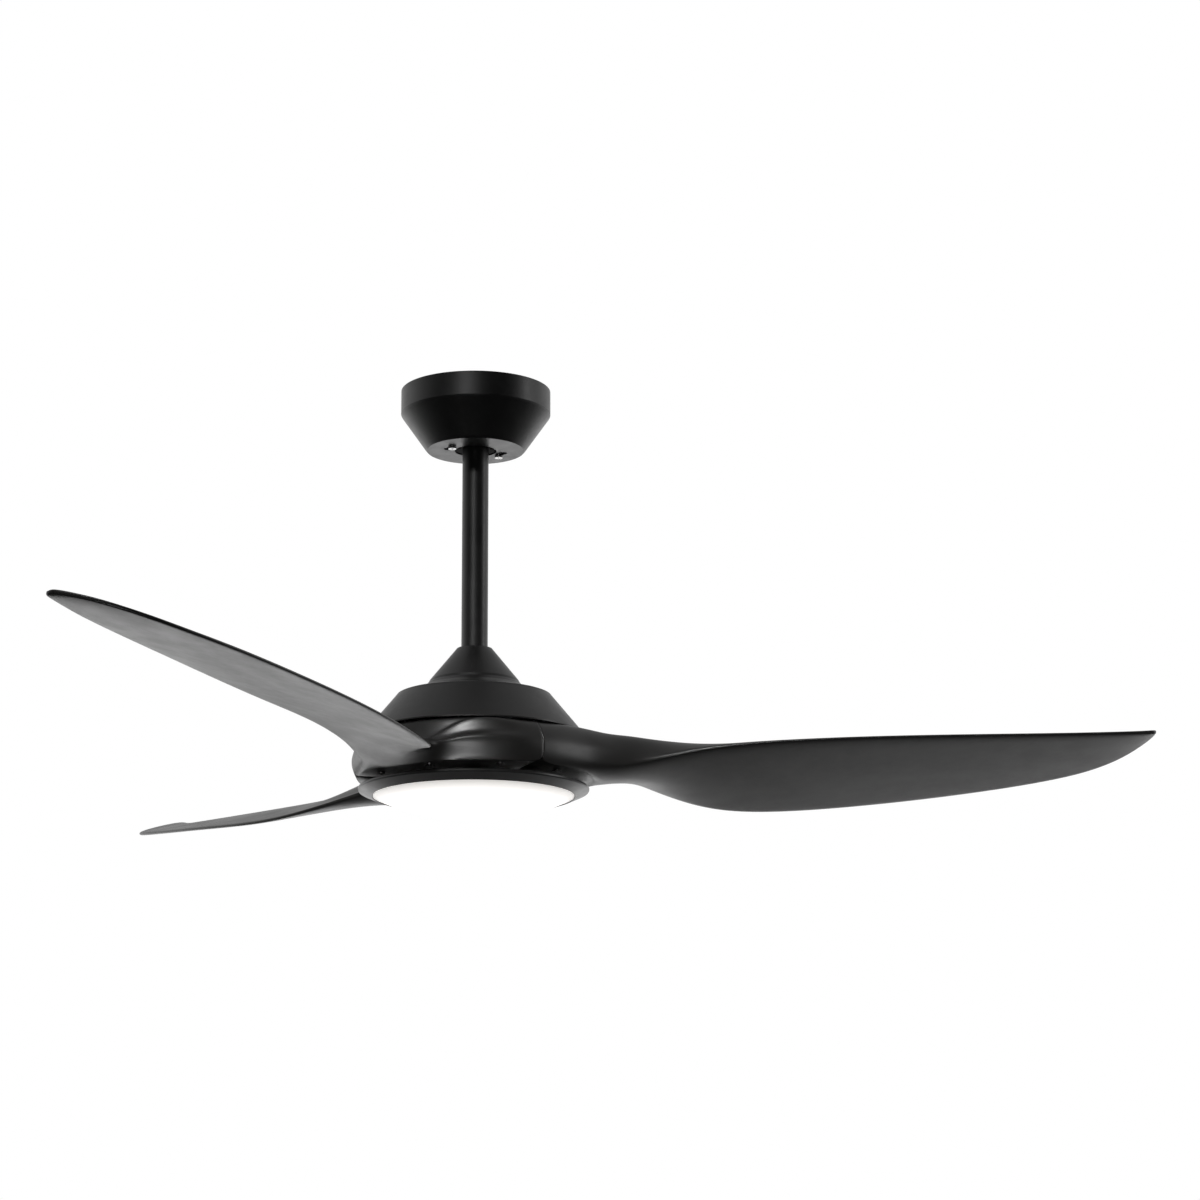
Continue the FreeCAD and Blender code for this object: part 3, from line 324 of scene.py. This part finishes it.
def blade_mesh():
    rows = blade_cage()
    mesh = bmesh.new()
    crease = mesh.edges.layers.float.new("crease_edge")
    grid = [[mesh.verts.new(Vector(p) * MM + Vector((0, 0, BLADE_PLANE))) for p in row] for row in rows]
    for line, after in zip(grid, grid[1:] + grid[:1]):
        for i in range(len(line) - 1):
            mesh.faces.new((line[i], line[i + 1], after[i + 1], after[i]))
        mesh.edges.get((line[RIM_AT], after[RIM_AT]))[crease] = 0.8
    tip = [line[-1] for line in grid]
    count = len(tip)
    middle = mesh.verts.new(sum((v.co for v in tip), Vector()) / count + Vector((1.5 * MM, 0, 0)))
    for i in range(count):
        mesh.faces.new((tip[i], middle, tip[(i + 1) % count]))
    bmesh.ops.recalc_face_normals(mesh, faces=mesh.faces)
    for face in mesh.faces:
        face.smooth = True
    data = bpy.data.meshes.new("moulded_blade")
    mesh.to_mesh(data)
    mesh.free()
    data.materials.append(materials["blade_plastic"])
    return data


moulded = blade_mesh()
for i in range(BLADES):
    blade = bpy.data.objects.new(f"moulded_blade_{i + 1}", moulded)
    bpy.context.scene.collection.objects.link(blade)
    blade.rotation_euler.z = math.tau / BLADES * i
    smooth = blade.modifiers.new("smooth", "SUBSURF")
    smooth.levels = smooth.render_levels = 3
    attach(blade, "rotor")
    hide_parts(f"blade_{i + 1}")


# ---------------------------------------------------------------- floor, light and camera

FLOOR_DEPTH = -2.4
FLOOR_HALF = 9.0
FLOOR_PAINTED_SHADE = (-0.5, 5.0)     # painted shade: y where the floor's colour starts to turn from dark to pale, and where it is palest
HUB_AIM = (0, 0, -0.4)        # the point that the high lamp faces
NARROW_BEAM = math.radians(14)

# The camera's place and aim come from a separate program's fit, like the blade's edges.
CAMERA_DISTANCE = 2.949
CAMERA_DROP = 0.8959
CAMERA_YAW = math.radians(2.305)
CAMERA_PITCH = math.radians(13.18)
CAMERA_ROLL = math.radians(-0.208)
CAMERA_ORBIT = math.radians(-0.7)
CAMERA_LENS = 95.85


def floor():
    """A floor a room's height below the ceiling, with painted shade: its colour is dark near the camera and
    pale behind the fan.

    It only lights the fan and shows in its reflections: the camera doesn't see it.
    """
    s, z = FLOOR_HALF, FLOOR_DEPTH
    data = bpy.data.meshes.new("floor")
    data.from_pydata([(-s, -s, z), (s, -s, z), (s, s, z), (-s, s, z)], [], [(0, 1, 2, 3)])
    paint = finish("floor_painted_shade", grey(0.78), grey(0.8), (0.75, 0.85), 40.0, 0.05, 1.0)
    tree = paint.node_tree
    place = add(tree, "ShaderNodeTexCoord").outputs["Object"]
    depth = add(tree, "ShaderNodeSeparateXYZ", {"Vector": place}).outputs["Y"]
    # painted shade: the floor's colour runs from dark near the camera to pale behind the fan
    shade = ramp(tree, spread(tree, depth, 0.0, 1.0, *FLOOR_PAINTED_SHADE), grey(0.05), grey(0.85), 0.0, 1.0)
    tree.links.new(shade, tree.nodes["Principled BSDF"].inputs["Base Color"])
    data.materials.append(paint)
    piece = bpy.data.objects.new("floor", data)
    bpy.context.scene.collection.objects.link(piece)
    piece.visible_camera = False


def softbox(name, place, width, height, power, aim=(0, 0, -0.3)):
    """A soft rectangular lamp that faces the fan."""
    light = bpy.data.lights.new(name, "AREA")
    light.shape = "RECTANGLE"
    light.size, light.size_y = width, height
    light.energy = power
    lamp = bpy.data.objects.new(name, light)
    bpy.context.scene.collection.objects.link(lamp)
    lamp.location = place
    lamp.rotation_euler = (Vector(aim) - Vector(place)).to_track_quat("-Z", "Y").to_euler()
    lamp.visible_camera = False
    return lamp


def studio():
    """Light from a bright back and a dim front, so that black stays black.

    The camera sees plain white behind the fan whichever way it looks.
    """
    world = bpy.data.worlds.new("studio")
    world.use_nodes = True
    bpy.context.scene.world = world
    tree = world.node_tree
    dim = tree.nodes["Background"]
    way = add(tree, "ShaderNodeTexCoord").outputs["Generated"]
    split = add(tree, "ShaderNodeSeparateXYZ", {"Vector": way}).outputs
    sides = spread(tree, split["Y"], 0.012, 1.0, -0.55, 0.4)
    height = spread(tree, split["Z"], 1.0, 0.45, 0.05, 0.5)
    bright = add(tree, "ShaderNodeMath", {0: sides, 1: height}, operation="MULTIPLY").outputs["Value"]
    behind = ramp(tree, bright, grey(0.0), grey(1.0), 0.0, 1.0)
    tree.links.new(behind, dim.inputs["Color"])
    dim.inputs["Strength"].default_value = 1.15
    white = add(tree, "ShaderNodeBackground", {"Color": (1, 1, 1, 1), "Strength": 1.0})
    seen = add(tree, "ShaderNodeLightPath").outputs["Is Camera Ray"]
    both = add(tree, "ShaderNodeMixShader", {0: seen, 1: dim.outputs[0], 2: white.outputs[0]})
    tree.links.new(both.outputs[0], tree.nodes["World Output"].inputs["Surface"])
    softbox("strip", (2.6, -0.3, 0.1), 0.7, 1.8, 9)
    low = softbox("low_front", (-0.3, -2.8, -1.5), 1.5, 0.3, 0.9, (0, 0, -0.42))
    high = softbox("high_front", (-0.8, -2.5, 1.5), 2.2, 0.5, 2.8, HUB_AIM)
    low.data.spread = high.data.spread = NARROW_BEAM
    wash = softbox("floor_wash", (0, 7.5, 0.2), 12, 4, 500, (0, 7.5, -2.4))
    wash.visible_glossy = False
    bpy.context.scene.view_settings.view_transform = "Standard"


def camera():
    """A long lens below the fan, looking a little up."""
    heading = Vector((math.sin(CAMERA_YAW), math.cos(CAMERA_YAW), 0))
    forward = heading * math.cos(CAMERA_PITCH) + Vector((0, 0, math.sin(CAMERA_PITCH)))
    side = Vector((heading.y, -heading.x, 0))
    up = side.cross(forward)
    right = side * math.cos(CAMERA_ROLL) + up * math.sin(CAMERA_ROLL)
    up = up * math.cos(CAMERA_ROLL) - side * math.sin(CAMERA_ROLL)
    data = bpy.data.cameras.new("camera")
    data.sensor_width = 36
    data.lens = CAMERA_LENS
    piece = bpy.data.objects.new("camera", data)
    bpy.context.scene.collection.objects.link(piece)
    turn = Matrix((right, up, -forward)).transposed().to_4x4()
    place = Matrix.Translation((0, -CAMERA_DISTANCE, -CAMERA_DROP))
    piece.matrix_world = Matrix.Rotation(CAMERA_ORBIT, 4, "Z") @ place @ turn
    bpy.context.scene.camera = piece


floor()
studio()
camera()
